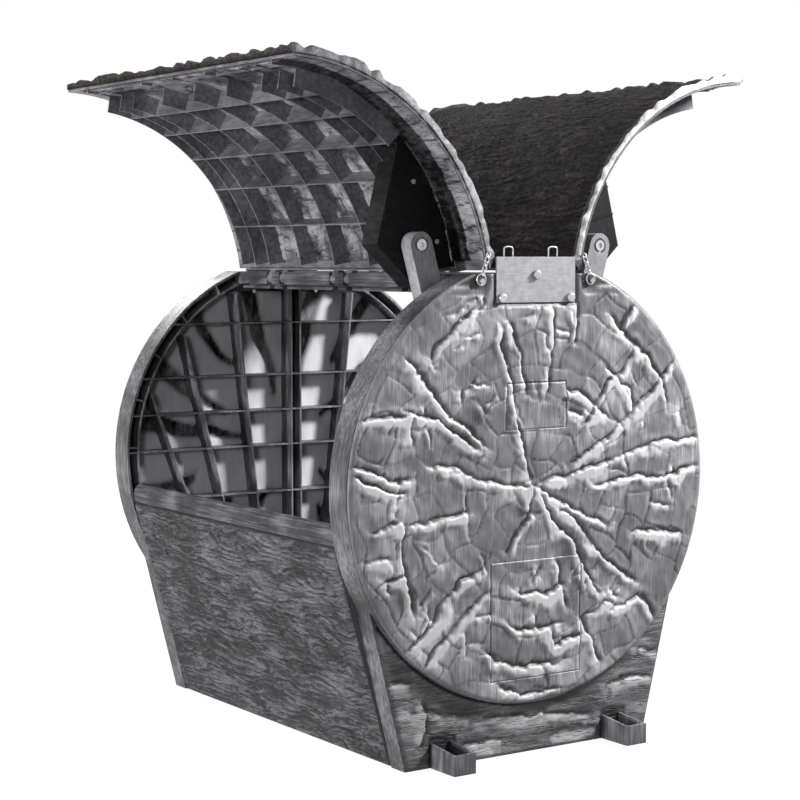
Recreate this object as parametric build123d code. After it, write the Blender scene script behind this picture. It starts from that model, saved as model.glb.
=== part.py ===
from build123d import *
import os
from math import acos, atan2, cos, degrees, radians, sin, sqrt

# A log-shaped feed bin of moulded plastic with two wing lids, standing on the ground.
# Frame: +X to the right, +Y away from the front end, +Z up, origin on the ground below the middle.
# All sizes are in millimetres and degrees. Pieces of the lids are drawn closed and then swung open.
os.makedirs("parts", exist_ok=True)

# Body
disc_radius = 400.0
disc_centre_z = 493.0
body_length = 860.0
disc_proud = 14.0
base_half_width = 272.0
flank_top_z = 292.0
top_flat_drop = 24.5
panel_wall = 5.0
flange_depth = 42.0
rib_thickness = 3.0

# Ribs inside the end panels
ring_rib_inset = 25.0
ring_rib_start = -12.0
spoke_count = 15
cross_rib_heights = (760.0, 650.0, 575.0, 500.0, 400.0, 300.0, 200.0, 100.0)
channel_half_gap = 11.0
lowest_rib_z = 40.0
fan_rib_top_drops = ((144.0, 35.0), (266.0, 120.0), (344.0, 236.0))
fan_rib_feet = ((109.0, 506.0), (201.0, 482.0), (286.0, 468.0))

# Ground feet, moulded with the end panels
foot_width = 46.0
foot_wall = 5.0
foot_reach = 74.0
foot_front_height = 36.0
foot_back_height = 44.0
foot_x = 195.0
anchor_hole = 12.0

# Covers set into the front disc
hatch_width = 201.0
hatch_bottom_z = 142.0
hatch_top_z = 354.0
blank_width = 134.0
blank_bottom_z = 592.0
blank_top_z = 674.0
cover_gap = 1.2
cover_lip = 10.0
cover_screw_inset = 13.0

# Side walls and their top rails
wall_top_z = 403.0
wall_top_inset = 15.0
wall_base_x = 268.0
wall_thickness = 8.0
wall_return = 36.0
return_thickness = 5.0
rail_top_z = 437.0
rail_outer_step = 1.0
rail_width = 36.0
rail_shoulder = 13.0
rail_wall = 5.0
wall_screw_heights = (80.0, 215.0, 350.0)
wall_screw_boss = 16.0
floor_thickness = 6.0
floor_gap = 1.0
floor_tongue_width = 440.0

# Hinges and the ridge beam that carries them
hinge_x = 124.0
hinge_drop = 37.0
rod_diameter = 10.0
rod_clearance = 0.05
rod_reach = 455.0
hinge_bar_width = 22.0
ridge_plate = 6.0
ridge_skirt = 5.0
ridge_skirt_drop = 22.0
ridge_lip_width = 15.0
ridge_lip_height = 6.0
ridge_rib_pitch = 120.0
hinge_pitch = 243.0
lug_width = 18.0
lug_gap = 1.0
knuckle_width = 30.0
lug_radius = 10.5
lug_root_drop = 8.0
rod_boss_length = 24.0

# Lids
open_angle = 104.0
lid_gap = 3.0
lid_shell = 5.0
lid_length = 882.0
lid_start_angle = 21.3
lid_end_angle = 102.5
lid_rib_depth = 38.0
lid_rib_end_angle = 95.0
lid_hoop_ys = (0.0, 124.0, 248.0, 305.0)
lid_stringer_angles = (36.0, 49.5)
long_stringer_angles = (62.0, 74.5, 87.0)
end_hoop_y = 358.0
end_hoop_start_angle = 61.0
edge_rib_depth = 7.0
edge_stringer_angle = 98.5
edge_rib_end_angle = 102.0
start_flange_depth = 18.0
start_flange_length = 760.0

# Webs that close the lid ends, their heights counted down from the hinges
web_face_y = 346.0
web_thickness = 4.0
web_flange_depth = 50.0
web_low_drop = 161.0
web_knee_x = 150.0
web_nose_x = 98.0
web_nose_drop = 68.0
web_throat_drop = 34.0
web_throat_x = 136.0
web_top_x = 152.0
web_top_rise = 6.0
web_bead_xs = (264.0, 212.0)
web_bead = 2.5
web_screw_drops = ((186.0, 40.0), (276.0, 114.5))
web_boss = 12.0

# Lid stays
stay_pivot_x = 167.0
stay_pivot_drop = 91.0
stay_ratio = 1.15
stay_length = 150.0
stay_width = 46.0
stay_thickness = 30.0
stay_bolt_diameter = 12.0
stay_washer_thickness = 3.3
stay_washer_diameter = 28.0
stay_bolt_head = 20.0
stay_bolt_head_height = 5.0
stay_recess = 4.0

# Cap plates over the hinge ends, with bolts and wire loops, their heights counted up from the hinges
plate_width = 177.0
plate_bottom_rise = -38.0
plate_top_rise = 43.0
plate_thickness = 3.0
plate_bolt_rises = ((0.0, 11.0), (-77.0, -30.0), (77.0, -30.0))
plate_bolt_diameter = 8.0
plate_bolt_head = 17.0
plate_bolt_head_height = 7.0
plate_bolt_length = 12.0
tab_width = 44.0
tab_top_rise = 30.0
loop_x = 50.0
loop_width = 23.0
loop_top_rise = 62.0
loop_wire = 3.0
loop_back = 14.0

# Keeper chains and small screws
chain_wire = 2.6
chain_width = 9.8
chain_link_length = 11.0
chain_links = 4
chain_play = 0.2
chain_y = -449.0
ring_radius = 9.5
eye_radius = 5.0
eye_shank_length = 12.0
screw_diameter = 4.5
screw_head = 9.0
screw_head_height = 3.0
screw_length = 14.0
fit_gap = 0.05

# Places worked out from the sizes above
plinth_y = body_length / 2
disc_y = plinth_y + disc_proud
flange_y = plinth_y - flange_depth
top_flat_z = disc_centre_z + disc_radius - top_flat_drop
hinge_z = disc_centre_z + disc_radius - hinge_drop
ring_rib_radius = disc_radius - ring_rib_inset
fan_rib_tops = [(x, hinge_z - drop) for x, drop in fan_rib_top_drops]
wall_top_x = disc_radius - wall_top_inset
rail_outer_x = wall_top_x + rail_outer_step
ridge_skirt_bottom_z = hinge_z - ridge_skirt_drop
web_low_z = hinge_z - web_low_drop
web_nose_z = hinge_z - web_nose_drop
web_throat_z = hinge_z - web_throat_drop
web_top_z = hinge_z + web_top_rise
web_screw_points = [(x, hinge_z - drop) for x, drop in web_screw_drops]
stay_pivot_z = hinge_z - stay_pivot_drop
plate_bottom_z = hinge_z + plate_bottom_rise
plate_top_z = hinge_z + plate_top_rise
plate_bolt_points = [(x, hinge_z + rise) for x, rise in plate_bolt_rises]
tab_top_z = hinge_z + tab_top_rise
loop_top_z = hinge_z + loop_top_rise
flank_top_x = sqrt(disc_radius**2 - (disc_centre_z - flank_top_z) ** 2)
flank_lean = (flank_top_x - base_half_width) / flank_top_z
wall_lean = (wall_top_x - wall_base_x) / wall_top_z
lid_inner = disc_radius + lid_gap
lid_outer = lid_inner + lid_shell
lid_rib_inner = lid_inner - lid_rib_depth
beam_half_width = hinge_x + hinge_bar_width / 2
bar_inner_x = hinge_x - hinge_bar_width / 2
bar_bottom_z = 2 * hinge_z - top_flat_z
cover_y = disc_y - panel_wall
lip_y = cover_y - panel_wall
hinge_centres = (-hinge_pitch, 0.0, hinge_pitch)
lug_offset = (knuckle_width + lug_width) / 2 + lug_gap
rod_bore = rod_diameter + 2 * rod_clearance
stay_y = web_face_y + stay_washer_thickness
far = 3 * disc_radius


def across(outline, back_y, front_y):
    """An outline drawn in x and z, as a solid between two planes square to Y."""
    plane = Plane(origin=(0, back_y, 0), x_dir=(1, 0, 0), z_dir=(0, -1, 0))
    return extrude(plane * outline, back_y - front_y)


def polygon(*points):
    """A closed flat outline with straight sides."""
    return make_face(Polyline(*points, close=True))


def rectangle(x_low, x_high, z_low, z_high):
    """An upright rectangle given by its four limits."""
    return polygon((x_low, z_low), (x_high, z_low), (x_high, z_high), (x_low, z_high))


def disc(radius, x=0.0, z=disc_centre_z):
    """A full circle in the x-z plane."""
    return Pos(x, z) * Circle(radius)


def on_arc(radius, angle):
    """A point on the left side of the log, its angle counted from straight up."""
    turn = radians(angle)
    return (-radius * sin(turn), disc_centre_z + radius * cos(turn))


def wedge(start, end):
    """A sector of the left half of the log, far larger than the log."""
    middle = (start + end) / 2
    return polygon((0, disc_centre_z), on_arc(far, start), on_arc(far, middle), on_arc(far, end))


def arc_band(outer, inner, start, end):
    """A curved strip between two radii and two angles."""
    return (disc(outer) - disc(inner)) & wedge(start, end)


def strip(start, end, thickness):
    """A straight strip of even thickness along the line between two points."""
    dx = end[0] - start[0]
    dz = end[1] - start[1]
    length = sqrt(dx * dx + dz * dz)
    sx = -dz / length * thickness / 2
    sz = dx / length * thickness / 2
    return polygon(
        (start[0] + sx, start[1] + sz),
        (start[0] - sx, start[1] - sz),
        (end[0] - sx, end[1] - sz),
        (end[0] + sx, end[1] + sz),
    )


def spoke(angle, inner, outer, thickness):
    """A strip that points straight away from the middle of the disc."""
    return strip(on_arc(inner, angle), on_arc(outer, angle), thickness)


def pin(diameter, x, z, back_y, front_y):
    """A round bar along Y."""
    return across(disc(diameter / 2, x, z), back_y, front_y)


def left_right(shape):
    """A shape with its mirror image on the other side."""
    return [shape, mirror(shape, about=Plane.YZ)]


def front_back(shape):
    """A shape with its mirror image at the other end."""
    return [shape, mirror(shape, about=Plane.XZ)]


def swing_open(shape):
    """Turns a piece of the left lid from closed to its rest place, wide open."""
    return shape.rotate(Axis((-hinge_x, 0, hinge_z), (0, 1, 0)), open_angle)


def write(name, pieces):
    """Writes one node; a list becomes separate solids in it."""
    if not isinstance(pieces, list):
        pieces = [pieces]
    solids = [solid for piece in pieces for solid in piece.solids()]
    export_step(Compound(solids) if len(solids) > 1 else solids[0], f"parts/{name}.step")


# End panels
def body_outline(inset):
    """The log's end on its tapered plinth, drawn smaller by a wall."""
    radius = disc_radius - inset
    half = base_half_width - inset * sqrt(1 + flank_lean**2)
    a = 1 + flank_lean**2
    b = half * flank_lean - disc_centre_z
    c = half**2 + disc_centre_z**2 - radius**2
    meet_z = (-b - sqrt(b * b - a * c)) / a
    foot = half + flank_lean * inset
    meet = half + flank_lean * meet_z
    plinth = polygon((-foot, inset), (foot, inset), (meet, meet_z), (-meet, meet_z))
    return disc_outline(inset) + plinth


def disc_outline(inset):
    """The round end face, cut flat at the top for the ridge beam."""
    return disc(disc_radius - inset) & rectangle(-far, far, -far, top_flat_z - inset)


def panel_ribs():
    """All stiffening ribs and screw bosses inside one end panel, as one flat outline."""
    ring = disc(ring_rib_radius + rib_thickness / 2) - disc(ring_rib_radius - rib_thickness / 2)
    low_z = disc_centre_z + ring_rib_radius * sin(radians(ring_rib_start))
    ribs = ring & rectangle(-far, far, low_z, far)
    step = (180.0 - 2 * ring_rib_start) / (spoke_count - 1)
    for index in range(spoke_count):
        angle = -90.0 + ring_rib_start + index * step
        ribs += spoke(angle, ring_rib_radius, disc_radius, rib_thickness)
    for height in cross_rib_heights:
        ribs += rectangle(-far, far, height - rib_thickness / 2, height + rib_thickness / 2)
    for side in (-1, 1):
        middle = side * channel_half_gap
        ribs += rectangle(middle - rib_thickness / 2, middle + rib_thickness / 2, lowest_rib_z, far)
        for top, foot in zip(fan_rib_tops, fan_rib_feet):
            lean = (top[0] - foot[0]) / (top[1] - foot[1])
            end = (side * (foot[0] - lean * (foot[1] - lowest_rib_z)), lowest_rib_z)
            ribs += strip((side * top[0], top[1]), end, rib_thickness)
        for x, z in wall_screw_places():
            ribs += disc(wall_screw_boss / 2, side * x, z)
    return ribs & rectangle(-far, far, lowest_rib_z, far) & body_outline(panel_wall / 2)


def wall_screw_places():
    """Where the right side wall is screwed to an end panel."""
    inner = wall_base_x - wall_thickness - wall_return / 2
    return [(inner + wall_lean * height, height) for height in wall_screw_heights]


def foot(x):
    """One open-topped ground foot at the front, with its anchor hole."""
    front_y = -plinth_y - foot_reach
    side = make_face(
        Polyline(
            (0, -plinth_y, 0),
            (0, -plinth_y, foot_back_height),
            (0, front_y, foot_front_height),
            (0, front_y, 0),
            close=True,
        )
    )
    block = extrude(side, foot_width / 2, both=True)
    well_length = foot_reach - foot_wall
    well = Pos(0, -plinth_y - well_length / 2, foot_wall + foot_back_height / 2) * Box(
        foot_width - 2 * foot_wall, well_length, foot_back_height
    )
    hole_y = -plinth_y - well_length / 2
    block = block - well - Pos(0, hole_y, foot_wall / 2) * Cylinder(anchor_hole / 2, foot_wall)
    return Pos(x, 0, 0) * block


def cover_opening(panel, width, bottom_z, top_z):
    """Cuts a covered opening in the front disc and leaves the lip that carries the cover."""
    half = width / 2 + cover_gap
    opening = rectangle(-half, half, bottom_z - cover_gap, top_z + cover_gap)
    inner = rectangle(
        -half + cover_lip, half - cover_lip, bottom_z - cover_gap + cover_lip, top_z + cover_gap - cover_lip
    )
    panel = panel - across(opening, -flange_y, -disc_y)
    outer_half = half + panel_wall
    reach = cover_gap + panel_wall
    frame = rectangle(-outer_half, outer_half, bottom_z - reach, top_z + reach)
    return panel + across(frame - inner, -lip_y, -cover_y)


def hatch_screw_points():
    """The four fixings near the hatch cover's corners."""
    x = hatch_width / 2 - cover_screw_inset
    heights = (hatch_bottom_z + cover_screw_inset, hatch_top_z - cover_screw_inset)
    return [(side * x, z) for side in (-1, 1) for z in heights]


def end_panel(with_covers):
    """The front end panel: raised disc, plinth, flange, ribs, bosses and feet."""
    panel = across(body_outline(0), -flange_y, -plinth_y) + across(disc_outline(0), -flange_y, -disc_y)
    panel = panel - across(body_outline(panel_wall), -flange_y, -plinth_y + panel_wall)
    panel = panel - across(disc_outline(panel_wall), -flange_y, -disc_y + panel_wall)
    panel = panel + across(panel_ribs() - disc_outline(panel_wall), -flange_y, -plinth_y + panel_wall)
    panel = panel + across(panel_ribs() & disc_outline(panel_wall / 2), -flange_y, -disc_y + panel_wall)
    boss = rectangle(bar_inner_x, beam_half_width, bar_bottom_z, top_flat_z)
    for block in left_right(across(boss, -flange_y, -flange_y - rod_boss_length)):
        panel += block
    tab = rectangle(-tab_width / 2, tab_width / 2, top_flat_z - panel_wall, tab_top_z)
    panel += across(tab, -plinth_y, -disc_y)
    for side in (-1, 1):
        panel += foot(side * foot_x)
    if with_covers:
        panel = cover_opening(panel, hatch_width, hatch_bottom_z, hatch_top_z)
        panel = cover_opening(panel, blank_width, blank_bottom_z, blank_top_z)
        for x, z in hatch_screw_points():
            panel -= pin(screw_diameter + 2 * fit_gap, x, z, -lip_y, -cover_y)
    return cut_end_panel(panel)


def cut_end_panel(panel):
    """Cuts the rod bores, rod slots, screw holes, bolt holes and loop holes."""
    slot = disc(lug_radius, -hinge_x, hinge_z) + rectangle(
        -hinge_x - lug_radius, -hinge_x + lug_radius, hinge_z, top_flat_z
    )
    for cut in left_right(across(slot, -flange_y - rod_boss_length, -disc_y)):
        panel -= cut
    for cut in left_right(pin(rod_bore, -hinge_x, hinge_z, -flange_y, -disc_y)):
        panel -= cut
    for x, z in wall_screw_places():
        for side in (-1, 1):
            panel -= pin(screw_diameter + 2 * fit_gap, side * x, z, -flange_y, -flange_y - screw_length)
    for x, z in plate_bolt_points:
        panel -= pin(plate_bolt_diameter + 2 * fit_gap, x, z, -disc_y + plate_bolt_length, -disc_y)
    for x, y in loop_legs():
        hole = Pos(x, y, top_flat_z - panel_wall / 2) * Cylinder(loop_wire / 2 + fit_gap, panel_wall)
        panel -= hole
    return panel


# Side walls, rails and floor
def side_wall():
    """The left side wall, slanted, with returns along its ends, top and bottom."""
    wall = polygon(
        (-wall_base_x, 0),
        (-wall_base_x + wall_thickness, 0),
        (-wall_top_x + wall_thickness, wall_top_z),
        (-wall_top_x, wall_top_z),
    )
    body = across(wall, flange_y, -flange_y)
    inner_top = -wall_top_x + wall_thickness
    inner_base = -wall_base_x + wall_thickness
    end_return = polygon(
        (inner_base, 0),
        (inner_base + wall_return, 0),
        (inner_top + wall_return, wall_top_z),
        (inner_top, wall_top_z),
    )
    low_x = inner_base - wall_lean * return_thickness
    foot_return = polygon(
        (inner_base, 0),
        (inner_base + wall_return, 0),
        (inner_base + wall_return, return_thickness),
        (low_x, return_thickness),
    )
    top_z = wall_top_z - return_thickness
    high_x = inner_top + wall_lean * return_thickness
    top_return = polygon(
        (high_x, top_z),
        (-rail_outer_x + rail_width, top_z),
        (-rail_outer_x + rail_width, wall_top_z),
        (inner_top, wall_top_z),
    )
    for piece in front_back(across(end_return, -flange_y + return_thickness, -flange_y)):
        body += piece
    body += across(foot_return, flange_y, -flange_y)
    body += across(top_return, flange_y, -flange_y)
    for x, z in wall_screw_places():
        body -= pin(screw_diameter + 2 * fit_gap, -x, z, flange_y, -flange_y)
    return body


def wall_rail():
    """The left top rail: a hollow cap that sits on the wall's top return."""
    inner_x = -rail_outer_x + rail_width
    crown_x = -rail_outer_x + rail_shoulder
    outer = polygon(
        (-rail_outer_x, wall_top_z),
        (-rail_outer_x, rail_top_z - rail_shoulder),
        (-rail_outer_x + rail_shoulder / 2, rail_top_z - rail_shoulder / 4),
        (crown_x, rail_top_z),
        (inner_x, rail_top_z - rail_shoulder / 2),
        (inner_x, wall_top_z),
    )
    hollow = polygon(
        (-rail_outer_x + rail_wall, wall_top_z),
        (-rail_outer_x + rail_wall, rail_top_z - rail_shoulder - rail_wall / 2),
        (crown_x, rail_top_z - rail_wall),
        (inner_x - rail_wall, rail_top_z - rail_shoulder / 2 - rail_wall),
        (inner_x - rail_wall, wall_top_z),
    )
    return across(outer - hollow, flange_y, -flange_y)


def floor_panel():
    """The floor, dropped in on the wall returns, with a tongue over each end panel's flange."""
    low = return_thickness
    high = low + floor_thickness
    inner = wall_base_x - wall_thickness + wall_lean * low - floor_gap
    inner_high = inner + wall_lean * floor_thickness
    plate = polygon((-inner, low), (inner, low), (inner_high, high), (-inner_high, high))
    body = across(plate, flange_y - return_thickness, -flange_y + return_thickness)
    tongue = rectangle(-floor_tongue_width / 2, floor_tongue_width / 2, low, high)
    reach = plinth_y - panel_wall - floor_gap
    return body + across(tongue, reach, -reach)


# Ridge beam and hinge rods
def ridge_beam():
    """The beam between the end panels: top plate, hinge bars with lug slots, skirts and lips."""
    under_z = top_flat_z - ridge_plate
    beam = across(rectangle(-beam_half_width, beam_half_width, under_z, top_flat_z), flange_y, -flange_y)
    bar = rectangle(-beam_half_width, -bar_inner_x, bar_bottom_z, under_z)
    skirt = rectangle(-bar_inner_x, -bar_inner_x + ridge_skirt, ridge_skirt_bottom_z, under_z)
    lip = rectangle(
        -bar_inner_x - ridge_lip_width,
        -bar_inner_x,
        ridge_skirt_bottom_z,
        ridge_skirt_bottom_z + ridge_lip_height,
    )
    for piece in left_right(across(bar + skirt + lip, flange_y, -flange_y)):
        beam += piece
    rib = rectangle(-bar_inner_x, bar_inner_x, bar_bottom_z, under_z)
    rib_count = int(flange_y / ridge_rib_pitch)
    for index in range(-rib_count, rib_count + 1):
        middle = index * ridge_rib_pitch
        beam += across(rib, middle + rib_thickness / 2, middle - rib_thickness / 2)
    slot_width = lug_width + 2 * lug_gap
    slot = rectangle(-far, -bar_inner_x - lug_gap / 2, ridge_skirt_bottom_z - lug_gap, far)
    bore = pin(rod_bore, -hinge_x, hinge_z, flange_y, -flange_y)
    for piece in left_right(bore):
        beam -= piece
    for centre in hinge_centres:
        for side in (-1, 1):
            middle = centre + side * lug_offset
            cut = across(slot, middle + slot_width / 2, middle - slot_width / 2)
            for piece in left_right(cut):
                beam -= piece
    return beam


def hinge_rod():
    """The left hinge rod, which reaches out at the front to hold the keeper chain."""
    return pin(rod_diameter, -hinge_x, hinge_z, flange_y + rod_boss_length, -rod_reach)


# Lids
def lid_shell_piece():
    """The left lid drawn closed: curved shell, hoops, stringers, start flange, lugs and bosses."""
    skin = arc_band(lid_outer, lid_inner, lid_start_angle, lid_end_angle)
    shell = across(skin, lid_length / 2, -lid_length / 2)
    root = lid_inner + lid_shell / 4
    hoop = arc_band(root, lid_rib_inner, lid_start_angle + 2, lid_rib_end_angle)
    for y in lid_hoop_ys:
        for middle in {y, -y}:
            shell += across(hoop, middle + rib_thickness / 2, middle - rib_thickness / 2)
    stringer_y = web_face_y - web_thickness
    for angle in lid_stringer_angles:
        shell += across(spoke(angle, lid_rib_inner, root, rib_thickness), end_hoop_y, -stringer_y)
    short_hoop = arc_band(root, lid_rib_inner, end_hoop_start_angle, lid_rib_end_angle)
    for end_hoop, middle in ((short_hoop, -end_hoop_y), (hoop, end_hoop_y)):
        shell += across(end_hoop, middle + rib_thickness / 2, middle - rib_thickness / 2)
    for angle in long_stringer_angles:
        shell += across(spoke(angle, lid_rib_inner, root, rib_thickness), end_hoop_y, -end_hoop_y)
    edge_inner = lid_inner - edge_rib_depth
    edge_hoop = arc_band(root, edge_inner, lid_rib_end_angle - 1, edge_rib_end_angle)
    for y in (*lid_hoop_ys, end_hoop_y):
        for middle in {y, -y}:
            shell += across(edge_hoop, middle + rib_thickness / 2, middle - rib_thickness / 2)
    edge_stringer = spoke(edge_stringer_angle, edge_inner, root, rib_thickness)
    shell += across(edge_stringer, end_hoop_y, -end_hoop_y)
    flange_angle = lid_start_angle + degrees(rib_thickness / 2 / lid_inner)
    flange = spoke(flange_angle, lid_inner - start_flange_depth, root, rib_thickness)
    shell += across(flange, start_flange_length / 2, -start_flange_length / 2)
    shell = add_lugs(shell, flange_angle)
    for x, z in web_screw_points:
        shell += pin(web_boss, -x, z, -lid_hoop_ys[-1], -stringer_y)
        bore = screw_diameter + 2 * fit_gap
        shell -= pin(bore, -x, z, -stringer_y + screw_length, -stringer_y)
    eye = on_arc(lid_inner + lid_shell / 2, eye_angle())
    end_y = -lid_length / 2
    return shell - pin(chain_wire + 2 * fit_gap, eye[0], eye[1], end_y + eye_shank_length, end_y)


def add_lugs(shell, flange_angle):
    """Adds the lugs that reach from the start flange round the hinge rod."""
    inner_end = on_arc(lid_inner - start_flange_depth, flange_angle)
    outer_end = on_arc(lid_inner - lug_root_drop, flange_angle)
    arm = polygon(
        (-hinge_x, hinge_z + lug_radius),
        (outer_end[0], outer_end[1]),
        (inner_end[0], inner_end[1]),
        (-hinge_x, hinge_z - lug_radius),
    )
    lug = disc(lug_radius, -hinge_x, hinge_z) + arm
    for centre in hinge_centres:
        for side in (-1, 1):
            middle = centre + side * lug_offset
            shell += across(lug, middle + lug_width / 2, middle - lug_width / 2)
    return shell - pin(rod_bore, -hinge_x, hinge_z, flange_y, -flange_y)


def lid_web():
    """The left lid's front web, closed: a plate with an inward flange along its free edges."""
    low = -sqrt(lid_inner**2 - (web_low_z - disc_centre_z) ** 2)
    edge = [(-web_knee_x, web_low_z), (-web_nose_x, web_nose_z), (-web_nose_x, web_throat_z)]
    outline = polygon(
        (low - lid_rib_depth, web_low_z),
        *edge,
        (-web_throat_x, web_throat_z),
        (-web_top_x, web_top_z),
        (-web_top_x, far),
        (low - lid_rib_depth, far),
    )
    plate = across(outline & disc(lid_inner), -web_face_y + web_thickness, -web_face_y)
    clear = lid_rib_inner - rib_thickness
    start = (-sqrt(clear**2 - (web_low_z - disc_centre_z) ** 2), web_low_z)
    half = web_thickness / 2
    knee = (-web_knee_x - half / 2, web_low_z + half)
    nose = (-web_nose_x - half, web_nose_z + half / 2)
    rim = strip((start[0], start[1] + half), knee, web_thickness)
    rim += strip(knee, nose, web_thickness) + strip(nose, (nose[0], web_throat_z), web_thickness)
    rim += disc(half, knee[0], knee[1]) + disc(half, nose[0], nose[1])
    back_y = -web_face_y + web_flange_depth
    plate += across(rim, back_y, -web_face_y + web_thickness / 2)
    for x in web_bead_xs:
        bead_top = disc_centre_z + sqrt((lid_inner - lid_shell) ** 2 - x * x)
        bead = rectangle(-x - rib_thickness / 2, -x + rib_thickness / 2, web_low_z, bead_top)
        plate += across(bead, -web_face_y + web_bead / 2, -web_face_y - web_bead)
    for x, z in web_screw_points:
        plate -= pin(screw_diameter + 2 * fit_gap, -x, z, -web_face_y + web_thickness, -web_face_y)
    hole = pin(stay_bolt_diameter + 2 * fit_gap, -stay_pivot_x, stay_pivot_z, back_y, -web_face_y)
    return plate - hole


def small_screw(x, z, seat_y):
    """A screw driven in from the front, its head on a plane square to Y."""
    head = pin(screw_head, x, z, seat_y, seat_y - screw_head_height)
    return head + pin(screw_diameter, x, z, seat_y + screw_length, seat_y)


# Stays
def stay():
    """The left front stay, drawn hanging from its pivot with the lid closed."""
    low_z = stay_pivot_z - stay_length
    half = stay_width / 2
    outline = disc(half, -stay_pivot_x, stay_pivot_z) + disc(half, -stay_pivot_x, low_z)
    outline += rectangle(-stay_pivot_x - half, -stay_pivot_x + half, low_z, stay_pivot_z)
    arm = across(outline, -stay_y, -stay_y - stay_thickness)
    groove = disc(half - panel_wall, -stay_pivot_x, stay_pivot_z - stay_width)
    groove += disc(half - panel_wall, -stay_pivot_x, low_z)
    inner_half = half - panel_wall
    groove_top_z = stay_pivot_z - stay_width
    groove += rectangle(-stay_pivot_x - inner_half, -stay_pivot_x + inner_half, low_z, groove_top_z)
    arm -= across(groove, -stay_y + fit_gap, -stay_y - stay_thickness + panel_wall)
    counterbore = disc(stay_washer_diameter / 2, -stay_pivot_x, stay_pivot_z)
    face_y = -stay_y - stay_thickness
    arm -= across(counterbore, face_y + stay_recess, face_y)
    bore = stay_bolt_diameter + 2 * rod_clearance
    return arm - pin(bore, -stay_pivot_x, stay_pivot_z, -stay_y, face_y)


def stay_bolt():
    """Bolt with a round head in the stay's recess and a nut behind the web."""
    seat_y = -stay_y - stay_thickness + stay_recess
    back_y = -web_face_y + web_thickness
    head = pin(stay_bolt_head, -stay_pivot_x, stay_pivot_z, seat_y, seat_y - stay_bolt_head_height)
    shank = pin(stay_bolt_diameter, -stay_pivot_x, stay_pivot_z, back_y + stay_bolt_head_height, seat_y)
    plane = Plane(origin=(-stay_pivot_x, back_y, stay_pivot_z), x_dir=(1, 0, 0), z_dir=(0, 1, 0))
    nut = extrude(plane * RegularPolygon(stay_bolt_head / 2, 6), stay_bolt_head_height)
    face_y = seat_y - stay_bolt_head_height
    face = Plane(origin=(-stay_pivot_x, face_y, stay_pivot_z), x_dir=(1, 0, 0), z_dir=(0, 1, 0))
    socket = extrude(face * RegularPolygon(stay_bolt_head / 4, 6), stay_bolt_head_height / 2)
    return head + shank + nut - socket


def stay_washer():
    """Spacer washer between the web and the stay."""
    ring = disc(stay_washer_diameter / 2, -stay_pivot_x, stay_pivot_z)
    ring -= disc(stay_bolt_diameter / 2 + fit_gap, -stay_pivot_x, stay_pivot_z)
    return across(ring, -web_face_y, -stay_y + fit_gap)


def turn_stay(shape):
    """Turns a stay from hanging to its place on the wide open lid."""
    pivot = Axis((-stay_pivot_x, 0, stay_pivot_z), (0, 1, 0))
    return swing_open(shape.rotate(pivot, -stay_ratio * open_angle))


# Cap plates, bolts and wire loops
def cap_plate():
    """The flat metal plate over the front ends of the hinge rods."""
    outline = rectangle(-plate_width / 2, plate_width / 2, plate_bottom_z, plate_top_z)
    plate = across(outline, -disc_y, -disc_y - plate_thickness)
    for x, z in plate_bolt_points:
        plate -= pin(plate_bolt_diameter + 2 * fit_gap, x, z, -disc_y, -disc_y - plate_thickness)
    return plate


def plate_bolt(x, z):
    """A cap plate bolt with a domed round head."""
    seat_y = -disc_y - plate_thickness
    head = pin(plate_bolt_head, x, z, seat_y, seat_y - plate_bolt_head_height)
    rim = head.edges().filter_by(GeomType.CIRCLE).sort_by(Axis.Y)[0]
    head = fillet(rim, plate_bolt_head_height / 2)
    return head + pin(plate_bolt_diameter, x, z, -disc_y + plate_bolt_length - fit_gap, seat_y)


def loop_legs():
    """Where the legs of the two wire loops stand in the panel's flat top."""
    y = -disc_y + loop_back
    half = (loop_width - loop_wire) / 2
    return [(side * loop_x + leg * half, y) for side in (-1, 1) for leg in (-1, 1)]


def wire_loop(x):
    """A bent wire loop with two legs and a flat top."""
    y = -disc_y + loop_back
    half = (loop_width - loop_wire) / 2
    bend = 2 * loop_wire
    top = loop_top_z - loop_wire / 2
    low = top_flat_z - panel_wall
    corners = [(x - half, y, low), (x - half, y, top), (x + half, y, top), (x + half, y, low)]
    path = FilletPolyline(*corners, radius=bend)
    section = Plane(origin=(x - half, y, low), z_dir=(0, 0, 1)) * Circle(loop_wire / 2)
    return sweep(section, path=path)


# Keeper chains
def eye_reach():
    """Distance from the hinge to the middle of the screw eye at the chain's far end."""
    overlap = chain_wire + chain_play
    return chain_ring_top() - overlap + chain_links * (chain_link_length - overlap) + eye_radius


def chain_ring_top():
    """Distance from the hinge to the wire of the ring that hangs on the hinge rod."""
    return 2 * ring_radius - chain_wire / 2 - rod_diameter / 2 - chain_play


def eye_angle():
    """Angle round the log at which the screw eye stands in the lid's end."""
    hinge = sqrt(hinge_x**2 + (hinge_z - disc_centre_z) ** 2)
    shell = lid_inner + lid_shell / 2
    hinge_angle = degrees(atan2(hinge_x, hinge_z - disc_centre_z))
    spread = (hinge**2 + shell**2 - eye_reach() ** 2) / (2 * hinge * shell)
    return hinge_angle + degrees(acos(spread))


def chain_frame(distance, flat):
    """A frame on the chain's line, its X along the chain; flat links face the front."""
    eye = on_arc(lid_inner + lid_shell / 2, eye_angle())
    reach = eye_reach()
    dx = (eye[0] + hinge_x) / reach
    dz = (eye[1] - hinge_z) / reach
    origin = (-hinge_x + dx * distance, chain_y, hinge_z + dz * distance)
    normal = (0, -1, 0) if flat else (-dz, 0, dx)
    return Plane(origin=origin, x_dir=(dx, 0, dz), z_dir=normal)


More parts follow.
